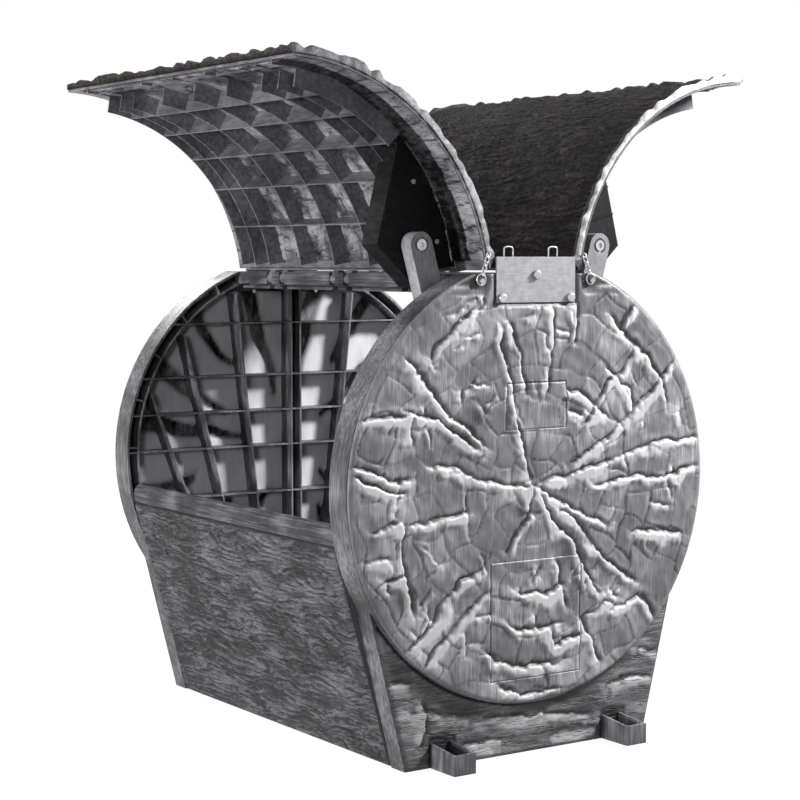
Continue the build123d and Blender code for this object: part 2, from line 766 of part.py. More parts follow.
def chain_link(distance, flat):
    """One closed link; its wire's middle line starts at the given distance."""
    bend = (chain_width - chain_wire) / 2
    straight = chain_link_length - 2 * bend
    end = Torus(bend, chain_wire / 2, major_angle=180, align=None)
    link = Pos(straight / 2, 0, 0) * Rot(0, 0, -90) * end + Pos(-straight / 2, 0, 0) * Rot(0, 0, 90) * end
    for side in (-1, 1):
        link += Pos(0, side * bend, 0) * Rot(0, 90, 0) * Cylinder(chain_wire / 2, straight)
    return chain_frame(distance + chain_link_length / 2, flat) * link


def keeper_chain():
    """The ring on the hinge rod and the links up to the screw eye, for the closed left lid."""
    ring = chain_frame(chain_ring_top() - ring_radius, True) * Torus(ring_radius, chain_wire / 2)
    overlap = chain_wire + chain_play
    pieces = [ring]
    for index in range(chain_links):
        distance = chain_ring_top() - overlap + index * (chain_link_length - overlap)
        pieces.append(chain_link(distance, index % 2 == 1))
    return pieces


def chain_eye():
    """The screw eye in the end edge of the closed left lid."""
    eye = on_arc(lid_inner + lid_shell / 2, eye_angle())
    ring = chain_frame(eye_reach(), False) * Torus(eye_radius, chain_wire / 2)
    end_y = -lid_length / 2
    return ring + pin(chain_wire, eye[0], eye[1], end_y + eye_shank_length - fit_gap, chain_y + eye_radius)


# Body pieces
write("front_end_panel", end_panel(True))
write("back_end_panel", mirror(end_panel(False), about=Plane.XZ))
for side, wall in zip(("left", "right"), left_right(side_wall())):
    write(f"{side}_side_wall", wall)
for side, rail in zip(("left", "right"), left_right(wall_rail())):
    write(f"{side}_wall_rail", rail)
write("floor_panel", floor_panel())
write("ridge_beam", ridge_beam())
for side, rod in zip(("left", "right"), left_right(hinge_rod())):
    write(f"{side}_hinge_rod", rod)

wall_screws = []
for screw_x, screw_z in wall_screw_places():
    driven = small_screw(-screw_x, screw_z, 0)
    seated = Pos(0, flange_y - return_thickness, 0) * driven
    for pair in left_right(seated):
        wall_screws += front_back(pair)
write("wall_screws", wall_screws)

# Covers in the front disc
hatch_outline = rectangle(-hatch_width / 2, hatch_width / 2, hatch_bottom_z, hatch_top_z)
hatch = across(hatch_outline, -cover_y, -disc_y)
hatch_screws = []
for screw_x, screw_z in hatch_screw_points():
    seat_y = -disc_y + screw_head_height
    hatch -= pin(screw_head + 2 * fit_gap, screw_x, screw_z, seat_y, -disc_y)
    hatch -= pin(screw_diameter + 2 * fit_gap, screw_x, screw_z, -cover_y, -disc_y)
    hatch_screws.append(small_screw(screw_x, screw_z, seat_y))
write("hatch_cover", hatch)
write("hatch_screws", hatch_screws)
blank_outline = rectangle(-blank_width / 2, blank_width / 2, blank_bottom_z, blank_top_z)
write("upper_blank_cover", across(blank_outline, -cover_y, -disc_y))

# Cap plates, bolts and loops
for end, plate in zip(("front", "back"), front_back(cap_plate())):
    write(f"{end}_cap_plate", plate)
plate_bolts = [bolt for x, z in plate_bolt_points for bolt in front_back(plate_bolt(x, z))]
write("cap_plate_bolts", plate_bolts)
loops = [wire_loop(-loop_x), wire_loop(loop_x)]
write("front_wire_loops", loops)
write("back_wire_loops", [mirror(loop, about=Plane.XZ) for loop in loops])

# Lids with what rides on them
for side, shell in zip(("left", "right"), left_right(swing_open(lid_shell_piece()))):
    write(f"{side}_lid_shell", shell)
for side, web in zip(("left", "right"), left_right(swing_open(lid_web()))):
    write(f"{side}_lid_front_web", web)
for side, arm in zip(("left", "right"), left_right(turn_stay(stay()))):
    write(f"{side}_front_stay", arm)
web_screws = [swing_open(small_screw(-x, z, -web_face_y)) for x, z in web_screw_points]
chain = [swing_open(piece) for piece in keeper_chain()]
lid_fittings = {
    "lid_web_screws": web_screws,
    "stay_bolt": [swing_open(stay_bolt())],
    "stay_washer": [swing_open(stay_washer())],
    "keeper_chain": chain,
    "chain_eye": [swing_open(chain_eye())],
}
for kind, pieces in lid_fittings.items():
    write(f"left_{kind}", pieces)
    write(f"right_{kind}", [mirror(piece, about=Plane.YZ) for piece in pieces])
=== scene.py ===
"""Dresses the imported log-shaped feed bin: bark and end-grain relief, plastics, zinc parts, floor, lamps and camera."""

import math

import bpy
import numpy as np
from mathutils import Euler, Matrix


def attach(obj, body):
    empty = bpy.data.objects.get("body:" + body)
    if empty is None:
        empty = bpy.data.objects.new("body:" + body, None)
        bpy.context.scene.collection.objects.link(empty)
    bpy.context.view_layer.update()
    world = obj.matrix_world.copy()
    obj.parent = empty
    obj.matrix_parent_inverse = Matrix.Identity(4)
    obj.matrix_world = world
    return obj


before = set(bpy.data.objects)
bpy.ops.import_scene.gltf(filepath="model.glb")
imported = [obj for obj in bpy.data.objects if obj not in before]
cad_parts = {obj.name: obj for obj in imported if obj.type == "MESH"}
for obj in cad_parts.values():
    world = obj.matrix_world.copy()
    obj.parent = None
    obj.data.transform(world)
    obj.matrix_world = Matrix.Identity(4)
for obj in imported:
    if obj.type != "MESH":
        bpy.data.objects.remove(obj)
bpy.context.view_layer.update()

# Sizes of the bin in millimetres, as its parts were drawn
DISC_R, DISC_Z = 400.0, 493.0
DISC_Y, PLINTH_Y, END_INSIDE_Y = 444.0, 430.0, 439.0
FACE_R, FACE_TOP = 399.0, 375.4
BASE_X, FLANK_X, FLANK_Z, FOOT_X = 272.0, 345.8, 292.0, 195
WALL_BASE_X, WALL_TOP_X, WALL_TOP_Z, WALL_HALF_Y = 268.0, 385.0, 403.0, 387.0
HINGE_X, HINGE_Z, LID_ANGLE = 124.0, 856.0, 104.0
LID_R, LID_SHELL, LID_HALF_Y = 403.0, 5.0, 441.0
LID_START, LID_END, OVER_END_Y, BESIDE_WEB_Y = 21.3, 102.5, 378.0, 348.0
# Covers in the front disc: their limits in x and then in z, and the gap round them
HATCH = (-100.5, 100.5, 142.0, 354.0)
BLANK = (-67.0, 67.0, 592.0, 674.0)
COVER_GAP = 1.2

# Checks and splits of the end grain, as x and z in millimetres on the face of the disc
SPLITS = (
    ((2, 475), (-18, 515), (-29, 565), (-44, 610), (-49, 652), (-58, 686), (-69, 717), (-75, 748), (-78, 779)),
    ((-24, 652), (-30, 698), (-36, 725), (-53, 761), (-58, 783)),
    ((18, 643), (29, 683), (37, 746), (40, 808)),
    ((86, 740), (91, 780), (100, 816)),
    ((5, 490), (68, 503), (137, 519), (209, 534), (275, 549), (384, 559)),
    ((132, 480), (191, 488), (245, 494), (301, 486), (389, 502)),
    ((73, 518), (108, 539), (166, 568), (196, 594), (232, 621), (286, 660), (323, 706)),
    ((102, 590), (136, 629), (166, 669), (195, 687), (228, 732)),
    ((194, 769), (224, 810)),
    ((170, 788), (194, 769), (224, 741), (261, 717), (286, 688), (302, 655), (312, 622)),
    ((159, 699), (189, 682), (213, 658), (229, 616)),
    ((69, 659), (101, 649), (130, 632), (178, 595)),
    ((70, 623), (101, 608)),
    ((-107, 562), (-145, 593), (-188, 625), (-219, 657), (-245, 684), (-266, 714), (-287, 724)),
    ((-128, 561), (-177, 590), (-214, 618), (-251, 628), (-287, 638)),
    ((0, 488), (-46, 490), (-101, 502), (-139, 509), (-177, 529), (-230, 536)),
    ((-390, 546), (-358, 536), (-312, 516), (-276, 518)),
    ((-388, 525), (-333, 504), (-282, 494)),
    ((-373, 621), (-322, 625), (-271, 629)),
    ((-269, 625), (-271, 573)),
    ((-230, 722), (-219, 743), (-188, 768), (-135, 811)),
    ((-353, 429), (-302, 442)),
    ((-282, 432), (-214, 444), (-150, 453)),
    ((5, 485), (62, 451), (109, 429), (168, 406)),
    ((0, 486), (-18, 441), (-45, 403), (-68, 369)),
    ((6, 482), (39, 428), (68, 398), (98, 368), (110, 335), (127, 306), (151, 280)),
    ((56, 440), (91, 419), (121, 380), (163, 344), (236, 296)),
    ((228, 388), (277, 391), (352, 374)),
    ((-287, 439), (-287, 374), (-266, 277)),
    ((-366, 381), (-313, 381)),
    ((-323, 343), (-287, 351)),
    ((-122, 347), (-166, 328), (-203, 301), (-229, 256), (-282, 209)),
    ((-100, 309), (-144, 278), (-187, 247), (-245, 183)),
    ((-45, 297), (23, 293), (57, 303)),
    ((-67, 245), (-33, 230), (18, 229), (64, 231)),
    ((-111, 198), (-78, 176), (-22, 161), (70, 162)),
    ((51, 349), (57, 312), (75, 260)),
    ((0, 254), (1, 236)),
    ((35, 228), (47, 190), (110, 215)),
    ((104, 239), (134, 189), (153, 145)),
    ((110, 234), (163, 261), (206, 252), (242, 272), (273, 245), (286, 215)),
    ((-83, 136), (-33, 112), (47, 116)),
)
# Ledges and cracks across the plinth under the disc
PLINTH_LEDGES = (
    ((-306, 164), (-262, 160)),
    ((-267, 104), (-200, 96), (-133, 79)),
    ((-100, 73), (30, 66), (147, 49)),
    ((180, 98), (240, 112), (292, 104)),
    ((252, 160), (305, 154)),
    ((-240, 40), (-228, 66), (-236, 120)),
    ((160, 24), (110, 30), (40, 22)),
    ((-150, 34), (-60, 30)),
)
# Directions of the splits on the inside of the ends, painted dark as shade, in degrees from straight up
DISC_WEDGES = (-152, -128, -103, -80, -61, -37, -14, 11, 34, 55, 78, 103, 127, 151, 177)

# Sizes of the clouds and the grit in the plastic and of the patches in the zinc, in millimetres
CLOUD_MM, GRIT_MM, PATCH_MM = 85, 1.6, 14


def linear(code, alpha=1.0):
    """The linear colour of an sRGB hex value."""
    parts = [int(code[i : i + 2], 16) / 255 for i in (1, 3, 5)]
    return (*[p / 12.92 if p <= 0.04045 else ((p + 0.055) / 1.055) ** 2.4 for p in parts], alpha)


def add(material, kind, links=(), **settings):
    """Adds a node with its settings; links gives a value or another node's socket for each of its inputs."""
    node = material.node_tree.nodes.new(kind)
    for name, value in settings.items():
        setattr(node, name, value)
    for key, value in dict(links).items():
        if isinstance(value, bpy.types.NodeSocket):
            material.node_tree.links.new(value, node.inputs[key])
        else:
            node.inputs[key].default_value = value
    return node


def ramp(material, value, from_low=0.0, from_high=1.0, to_low=0.0, to_high=1.0):
    """Turns a value that runs between two limits into one that runs between two others, and gives its socket."""
    limits = {"From Min": from_low, "From Max": from_high, "To Min": to_low, "To Max": to_high}
    return add(material, "ShaderNodeMapRange", {"Value": value, **limits}).outputs[0]


def lookup_rays(material):
    """1 for the rays that look at a thing or see it in shiny metal, and 0 for the rays that carry light from it."""
    rays = add(material, "ShaderNodeLightPath")
    looks = {0: rays.outputs["Is Camera Ray"], 1: rays.outputs["Is Glossy Ray"]}
    seen = add(material, "ShaderNodeMath", looks, operation="MAXIMUM")
    looks = {0: seen.outputs[0], 1: rays.outputs["Is Transmission Ray"]}
    return add(material, "ShaderNodeMath", looks, operation="MAXIMUM").outputs[0]


def blank_material(name):
    """A new material with its coordinates and its shader ready for the nodes of a finish."""
    made = bpy.data.materials.new(name)
    made.use_nodes = True
    made.node_tree.nodes.clear()
    place = add(made, "ShaderNodeTexCoord").outputs["Object"]
    return made, place


def surface(material, **inputs):
    """Ends a finish in its shader."""
    shader = add(material, "ShaderNodeBsdfPrincipled", inputs)
    add(material, "ShaderNodeOutputMaterial", {"Surface": shader.outputs[0]})
    return material


def moulded_wood(
    name, dark, middle, light, grain, roughness, bump_mm=0.35, relief=False, cracks_mm=0, shine=0.5
):
    """Rotationally moulded polyethylene with a cast wood texture, in three tones from the grain's lows to its crests.

    grain is the length in millimetres of its streaks along x, y and z. With relief, the tone follows how high the
    moulded surface stands there, a painted shade in the splits and lows and a painted highlight on the crests.
    cracks_mm is how far apart its finest cracks run, which are too small for the relief and are painted darker as
    their shade, and shine is how much of the room the skin of the plastic mirrors.
    """
    made, place = blank_material(name)
    scaled = add(made, "ShaderNodeMapping", {"Vector": place, "Scale": [1000 / size for size in grain]})
    streaks = add(
        made, "ShaderNodeTexNoise", {"Vector": scaled.outputs[0], "Scale": 1, "Detail": 3, "Roughness": 0.62}
    )
    clouds = add(made, "ShaderNodeTexNoise", {"Vector": place, "Scale": 1000 / CLOUD_MM, "Detail": 2})
    grit = add(made, "ShaderNodeTexNoise", {"Vector": place, "Scale": 1000 / GRIT_MM, "Detail": 2})
    tone = add(made, "ShaderNodeMath", {0: streaks.outputs["Fac"], 1: clouds.outputs["Fac"]}, operation="ADD")
    if relief:
        # Painted shade and highlight: the tone follows the relief attribute, dark in the lows and light on the crests
        height = add(made, "ShaderNodeAttribute", attribute_name="relief")
        low = ramp(made, tone.outputs[0], 0.7, 1.3, -0.2, 0.2)
        tone = add(made, "ShaderNodeMath", {0: height.outputs["Fac"], 1: low}, operation="ADD")
        ends = (0.0, 0.5, 1.0)
    else:
        ends = (0.72, 1.0, 1.28)
    mixed = add(made, "ShaderNodeMath", {0: streaks.outputs["Fac"], 1: grit.outputs["Fac"]}, operation="ADD")
    if cracks_mm:
        stretch = [1000 / (cracks_mm * size / min(grain)) for size in grain]
        wide = add(made, "ShaderNodeMapping", {"Vector": place, "Scale": stretch})
        settings = {"Vector": wide.outputs[0], "Scale": 1, "Detail": 3, "Roughness": 0.6, "Distortion": 0.6}
        veins = add(made, "ShaderNodeTexNoise", settings)
        away = add(made, "ShaderNodeMath", {0: veins.outputs["Fac"], 1: 0.5}, operation="SUBTRACT")
        away = add(made, "ShaderNodeMath", {0: away.outputs[0]}, operation="ABSOLUTE")
        depth = ramp(made, away.outputs[0], 0.0, 0.03, -1.0, 0.0)
        mixed = add(made, "ShaderNodeMath", {0: depth, 1: 1.6, 2: mixed.outputs[0]}, operation="MULTIPLY_ADD")
        # Painted shade: the finest cracks darken the tone
        tone = add(made, "ShaderNodeMath", {0: depth, 1: 0.24, 2: tone.outputs[0]}, operation="MULTIPLY_ADD")
    lower = ramp(made, tone.outputs[0], ends[0], ends[1])
    upper = ramp(made, tone.outputs[0], ends[1], ends[2])
    shade = add(made, "ShaderNodeMix", {0: lower, 6: linear(dark), 7: linear(middle)}, data_type="RGBA")
    colour = add(made, "ShaderNodeMix", {0: upper, 6: shade.outputs[2], 7: linear(light)}, data_type="RGBA")
    bump = add(made, "ShaderNodeBump", {"Height": mixed.outputs[0], "Distance": bump_mm / 1000, "Strength": 1.0})
    gloss = ramp(made, streaks.outputs["Fac"], to_low=roughness + 0.1, to_high=roughness - 0.1)
    inputs = {"Base Color": colour.outputs[2], "Roughness": gloss, "Normal": bump.outputs[0]}
    return surface(made, **inputs, **{"IOR": 1.5, "Specular IOR Level": shine})


def zinc_plated_steel(name, colour, dull, roughness, grain, bump_mm):
    """Zinc plated steel: a cool grey metal whose faint cloudy patches and rolling lines break up its shine."""
    made, place = blank_material(name)
    scaled = add(made, "ShaderNodeMapping", {"Vector": place, "Scale": [1000 / size for size in grain]})
    lines = add(made, "ShaderNodeTexNoise", {"Vector": scaled.outputs[0], "Scale": 1, "Detail": 2})
    patches = add(made, "ShaderNodeTexNoise", {"Vector": place, "Scale": 1000 / PATCH_MM, "Detail": 3})
    both = add(made, "ShaderNodeMath", {0: lines.outputs["Fac"], 1: patches.outputs["Fac"]}, operation="MULTIPLY")
    spread = ramp(made, both.outputs[0], 0.12, 0.42)
    tint = add(made, "ShaderNodeMix", {0: spread, 6: linear(dull), 7: linear(colour)}, data_type="RGBA")
    gloss = ramp(made, patches.outputs["Fac"], to_low=roughness + 0.12, to_high=roughness - 0.08)
    bump = add(made, "ShaderNodeBump", {"Height": lines.outputs["Fac"], "Distance": bump_mm / 1000})
    inputs = {"Base Color": tint.outputs[2], "Roughness": gloss, "Normal": bump.outputs[0]}
    return surface(made, **inputs, Metallic=0.85)


# End grain of the log: mid grey polyethylene, its upright streaks 2.5 mm wide, with painted shade in the splits and a
# painted highlight on the crests
end_grain = moulded_wood(
    "moulded_end_grain_polyethylene", "#19181b", "#7c7b7f", "#d6d5d8", (2.5, 8, 66), 0.42, 0.4, relief=True
)
# Plinth under the disc: the same moulding, a darker grey with the streaks lying along x as in a sawn block
plinth_grain = moulded_wood(
    "moulded_plinth_polyethylene", "#121114", "#5a595c", "#b7b6b9", (30, 8, 3), 0.48, 0.5, relief=True, cracks_mm=14,
    shine=0.35,
)
# Side bark: charcoal polyethylene cast from rough bark, scaly and dull, its flakes lying along the bin
side_bark = moulded_wood(
    "moulded_side_bark_polyethylene", "#0b0a0c", "#343336", "#7a797d", (2.5, 24, 2.5), 0.56, 0.8, relief=True,
    cracks_mm=5, shine=0.3,
)
# Lid bark: brown-black polyethylene cast from fine bark, the most matt finish of the bin
lid_bark = moulded_wood(
    "moulded_lid_bark_polyethylene", "#060505", "#1d1a19", "#4a4644", (4, 12, 4), 0.72, 0.9, relief=True, cracks_mm=6,
    shine=0.15,
)
# End edges of the lid bark: the same plastic painted as lit, a mid grey on the left lid and a pale one on the right
lid_bark_edges_painted_light = {
    "left": moulded_wood("bark_edge_polyethylene_painted_half_light", "#29282b", "#5c5b5f", "#8c8b90", (8, 14, 8), 0.6, 0.5),
    "right": moulded_wood("bark_edge_polyethylene_painted_full_light", "#8a898c", "#d2d1d3", "#f4f3f4", (8, 14, 8), 0.6, 0.5),
}
# Inside of the lids: grey moulding with flow marks and fine veins, painted paler where it stands out between the ribs
# as a painted highlight, and painted near black as shadow on the inner part of the strips over its ends
lid_inside = moulded_wood(
    "moulded_lid_inside_polyethylene", "#0d0c0e", "#5e5d61", "#bdbcc0", (8, 30, 8), 0.4, 0.3, relief=True,
    cracks_mm=20, shine=0.22,
)
# Ribs of the lids: satin grey plastic with light draw marks
lid_ribs = moulded_wood(
    "moulded_rib_polyethylene", "#4b4a4e", "#6d6c71", "#8f8e93", (9, 40, 9), 0.4, 0.12, shine=0.25
)
# Webs of the lids: dull plastic painted near black as shade, so that they close the lid ends as a dark plate
web_plastic_painted_shade = moulded_wood(
    "moulded_web_polyethylene_painted_shade", "#070606", "#100f10", "#242325", (9, 40, 9), 0.6, 0.12, shine=0.12
)
# Inside of the bin ends: dull pillows of plastic painted pale to stand in for the light that hardly reaches them,
# with the splits between them painted almost black as shade
end_inside = moulded_wood(
    "moulded_end_inside_polyethylene", "#080709", "#b2b1b5", "#d6d5d9", (14, 14, 40), 0.45, 0.25, relief=True,
    shine=0.12,
)
# Bands round the bin ends: upright wood grain, mid grey and slightly glossy
end_band = moulded_wood(
    "moulded_grain_band_polyethylene", "#1b1a1d", "#4a494d", "#8a898d", (4, 5, 70), 0.44, 0.35
)
# Rails on the side walls and the ridge beam: planed wood grain cast along the bin, dull
rail_grain = moulded_wood(
    "moulded_rail_polyethylene", "#1e1d20", "#414145", "#747378", (4, 80, 4), 0.58, 0.3, shine=0.25
)
# Wall and floor insides: plain charcoal moulding with a fine orange peel
plain_inside = moulded_wood(
    "moulded_plain_polyethylene", "#3b3a3d", "#504f52", "#646366", (18, 18, 18), 0.5, 0.12
)
# Stays: injection moulded nylon, light grey with a soft sheen
stay_nylon = moulded_wood("moulded_stay_nylon", "#78777b", "#97969a", "#b0afb3", (6, 20, 20), 0.38, 0.08)
# Cap plates and hinge rods: zinc plated steel, dull grey with fine rolling lines across it
plate_zinc = zinc_plated_steel("zinc_plated_sheet_steel", "#a3a3a6", "#808083", 0.5, (40, 3, 1.2), 0.05)
# Bolts, screws, loops and chains: bright zinc plating
bright_zinc = zinc_plated_steel("bright_zinc_plated_steel", "#d6d7da", "#a4a5a8", 0.3, (2, 2, 2), 0.03)

# Finish of each piece of the frame, by the first part of these that its name holds; all others are bright zinc
NODE_FINISHES = (
    ("cover", end_band),
    ("end_panel", end_band),
    ("ridge_beam", rail_grain),
    ("wall_rail", rail_grain),
    ("side_wall", plain_inside),
    ("floor_panel", plain_inside),
    ("lid_shell", lid_ribs),
    ("web_screws", bright_zinc),
    ("lid_front_web", web_plastic_painted_shade),
    ("stay_bolt", bright_zinc),
    ("stay_washer", bright_zinc),
    ("stay", stay_nylon),
    ("cap_plate_bolts", bright_zinc),
    ("cap_plate", plate_zinc),
    ("hinge_rod", plate_zinc),
)


def dress(name, piece):
    """Gives a piece of the frame its finish, by its name."""
    finish = next((made for part, made in NODE_FINISHES if part in name), bright_zinc)
    for place in piece.material_slots:
        place.material = finish


for name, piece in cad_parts.items():
    dress(name, piece)


def lumps(u, v, size_u, size_v, seed):
    """Smooth random heights from 0 to 1 at u and v, with lumps of the given sizes in millimetres."""
    table = np.random.default_rng(seed).random((256, 256))
    u, v = u / size_u, v / size_v
    i, j = np.floor(u).astype(int), np.floor(v).astype(int)
    a, b = u - i, v - j
    a, b = a * a * (3 - 2 * a), b * b * (3 - 2 * b)
    low = table[i % 256, j % 256] * (1 - a) + table[(i + 1) % 256, j % 256] * a
    high = table[i % 256, (j + 1) % 256] * (1 - a) + table[(i + 1) % 256, (j + 1) % 256] * a
    return low * (1 - b) + high * b


def from_line(x, z, line):
    """Distance of each place to a line of points, its side (1 below or left of it, else -1) and how far along it is."""
    best, side, along = np.full(x.shape, 1e9), np.zeros(x.shape), np.zeros(x.shape)
    for k, ((x0, z0), (x1, z1)) in enumerate(zip(line, line[1:])):
        dx, dz = x1 - x0, z1 - z0
        t = np.clip(((x - x0) * dx + (z - z0) * dz) / (dx * dx + dz * dz), 0, 1)
        off_x, off_z = x - x0 - t * dx, z - z0 - t * dz
        away = np.hypot(off_x, off_z)
        near = away < best
        best = np.where(near, away, best)
        side = np.where(near, -np.sign(0.45 * off_x + 0.9 * off_z), side)
        along = np.where(near, (k + t) / (len(line) - 1), along)
    return best, side, along


def splits(x, z, lines, seed, width=2.7, depth=5.4, lip=3.9, step=1.9):
    """Relief of splits: a narrow groove, a broad raised lip on its lower side, and a step that dies away from it."""
    wx = x + 9 * (lumps(x, z, 24, 24, seed) - 0.5) + 5 * (lumps(x, z, 8, 8, seed + 1) - 0.5)
    wz = z + 9 * (lumps(x, z, 24, 24, seed + 2) - 0.5) + 5 * (lumps(x, z, 8, 8, seed + 3) - 0.5)
    height = np.zeros(x.shape)
    for k, line in enumerate(lines):
        away, side, along = from_line(wx, wz, line)
        near = away < 75
        away, side, along, at_x, at_z = away[near], side[near], along[near], x[near], z[near]
        strength = 0.45 + 1.1 * lumps(at_x, at_z, 27, 27, seed + 7 + k)
        taper = np.clip(np.minimum(along, 1 - along) * 8 + 0.3, 0, 1) * strength
        wide = width * (0.6 + 0.8 * lumps(at_x, at_z, 38, 38, seed + 50 + k))
        broad = 1.9 + 2.2 * lumps(at_x, at_z, 33, 33, seed + 90 + k)
        groove = -depth * np.exp(-((away / wide) ** 2))
        raised = np.where(side > 0, 1.0, 0.22) * lip * np.exp(-(((away - (1 + broad) * wide) / (broad * wide)) ** 2))
        stepped = step * np.where(side > 0, 1.0, -0.6) * np.exp(-away / 22) * np.clip(away / wide, 0, 1)
        height[near] += taper * (groove + raised + stepped)
    return height


def short_splits(count, seed):
    """Short curved splits at random places of the disc, most of them upright or along the growth rings."""
    rng = np.random.default_rng(seed)
    lines = []
    for _ in range(count):
        r, angle = 385 * math.sqrt(rng.uniform(0.12, 0.97)), rng.uniform(-math.pi, math.pi)
        x, z, length = r * math.sin(angle), DISC_Z + r * math.cos(angle), rng.uniform(16, 52)
        heading = rng.choice([math.pi / 2, angle, angle + math.pi / 2, angle]) + rng.normal(0, 0.22)
        bend = rng.normal(0, 0.35)
        ends = [(x, z)]
        for k in (0, 1):
            turned = heading + k * bend
            dx, dz = math.cos(turned) * length / 2, -math.sin(turned) * length / 2
            ends.append((ends[-1][0] + dx, ends[-1][1] + dz))
        if max(math.hypot(a, b - DISC_Z) for a, b in ends) < 392:
            lines.append(tuple(ends))
    return tuple(lines)


def blocks_of_grain(x, z, seed, ring_mm=54):
    """Heights of the blocks that the growth rings and rays of the wood break into, with a shallow furrow round each."""
    wx, wz = x + 30 * (lumps(x, z, 45, 45, seed) - 0.5), z + 30 * (lumps(x, z, 45, 45, seed + 1) - 0.5)
    r, angle = np.hypot(wx, wz - DISC_Z), np.arctan2(wx, wz - DISC_Z) / (2 * math.pi) + 0.5
    table = np.random.default_rng(seed).random((3, 16, 64))
    ring = np.floor(r / ring_mm).astype(int) % 16
    rays = 7 + 4 * ring
    part = angle * rays + table[0, ring, 0]
    sector = np.floor(part).astype(int) % 64
    across = r / ring_mm - np.floor(r / ring_mm)
    to_ring = ring_mm * np.minimum(across, 1 - across)
    to_ray = np.abs(part - np.round(part)) * 2 * math.pi * r / rays
    furrow = 2.6 * table[1, ring, sector] * np.exp(-((np.minimum(to_ring, to_ray) / 2.1) ** 2))
    return 1.5 * table[2, ring, sector] - furrow


def end_height(x, z, lines, small_lines, seed):
    """Height of the end grain over the face of the disc, in millimetres."""
    r = np.hypot(x, z - DISC_Z)
    angle = np.arctan2(x, z - DISC_Z)
    rings = 0.45 * np.sin(r / 4.6 + 3.5 * lumps(x, z, 60, 60, seed + 3)) * lumps(x, z, 50, 50, seed + 9) ** 2
    sectors = 0.9 * np.round(4 * lumps(angle * 200, r, 95, 130, seed + 5)) / 4 + blocks_of_grain(x, z, seed + 15)
    dents = 1.7 * lumps(x, z, 30, 34, seed + 1) + 1.3 * lumps(x, z, 13, 17, seed + 2)
    dents += 0.8 * lumps(x, z, 6, 15, seed + 4)
    height = 1.3 + sectors + 0.8 * dents + rings + splits(x, z, lines, seed)
    height += splits(x, z, small_lines, seed + 200, 2.0, 2.4, 1.7, 0.7)
    rim = np.clip((DISC_R - r) / 10, 0, 1)
    height = 0.25 + np.clip(height, 0.05, 8.5) * (1 - (1 - rim) ** 2.2)
    plate = np.clip(np.maximum(np.abs(x) - 92, 815 - z) / 6, 0, 1)
    rods = np.clip(np.hypot((np.abs(x) - HINGE_X) / 14, (z - HINGE_Z) / 15) - 0.9, 0, 1)
    chains = np.clip(np.maximum(np.abs(np.abs(x) - 150) - 38, np.abs(z - 852) - 20) / 14, 0, 1)
    seats = np.clip(np.maximum(np.abs(np.abs(x) - 154) - 19, np.abs(z - 857.5) - 8) / 8, 0, 1)
    height = np.minimum(height, 2.7 + 6 * chains)
    return 0.03 + (height - 0.03) * plate * rods * seats


def grid_lines(low, high, step, extra=()):
    """Evenly spaced grid lines, with each extra line put in place of the nearest one."""
    lines = np.linspace(low, high, int(round((high - low) / step)) + 1)
    for value in extra:
        lines[np.argmin(np.abs(lines - value))] = value
    return np.sort(lines)


def make_piece(name, points, faces, finish, body, relief):
    """A smooth mesh piece from points in millimetres; relief is the tone of each point from 0 to 1."""
    mesh = bpy.data.meshes.new(name)
    mesh.from_pydata((np.asarray(points) / 1000).tolist(), [], [list(map(int, face)) for face in faces])
    mesh.validate()
    mesh.polygons.foreach_set("use_smooth", [True] * len(mesh.polygons))
    tones = mesh.attributes.new("relief", "FLOAT", "POINT")
    tones.data.foreach_set("value", np.clip(relief, 0, 1).astype(np.float32))
    mesh.materials.append(finish)
    made = bpy.data.objects.new(name, mesh)
    bpy.context.scene.collection.objects.link(made)
    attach(made, body)
    return made


